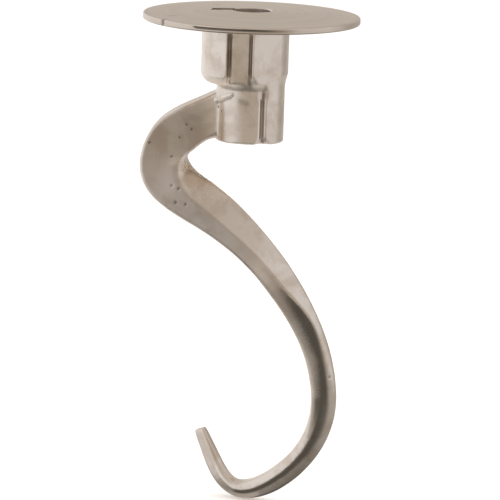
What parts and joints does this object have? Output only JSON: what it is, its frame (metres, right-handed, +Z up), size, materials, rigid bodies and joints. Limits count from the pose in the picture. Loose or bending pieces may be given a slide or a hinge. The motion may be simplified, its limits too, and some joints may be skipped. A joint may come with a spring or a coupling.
{
  "type": "dough hook for a commercial stand mixer",
  "caption": "Spiral dough hook for a commercial planetary mixer: cast arm and hub under a round guard plate, with a bushed shaft bore and a bayonet pin slot.",
  "frame": {"origin": "centre of the shaft bore, level with the hub's top face under the guard plate", "axes": "+Z up the bore towards the mixer, -Y the front of the hook, the arm leaves the hub towards -X"},
  "size_m": [0.144, 0.144, 0.3432],
  "materials": {
    "cast_aluminium": "burnished casting",
    "turned_aluminium": "turned and burnished",
    "bush_steel": "bored and oiled",
    "pin_steel": "ground"
  },
  "bodies": {
    "root": {"hook_casting": "cast_aluminium", "guard_plate": "turned_aluminium", "drive_bush": "bush_steel", "bush_keys": "pin_steel", "plate_dowels": "pin_steel"}
  },
  "joints": []
}
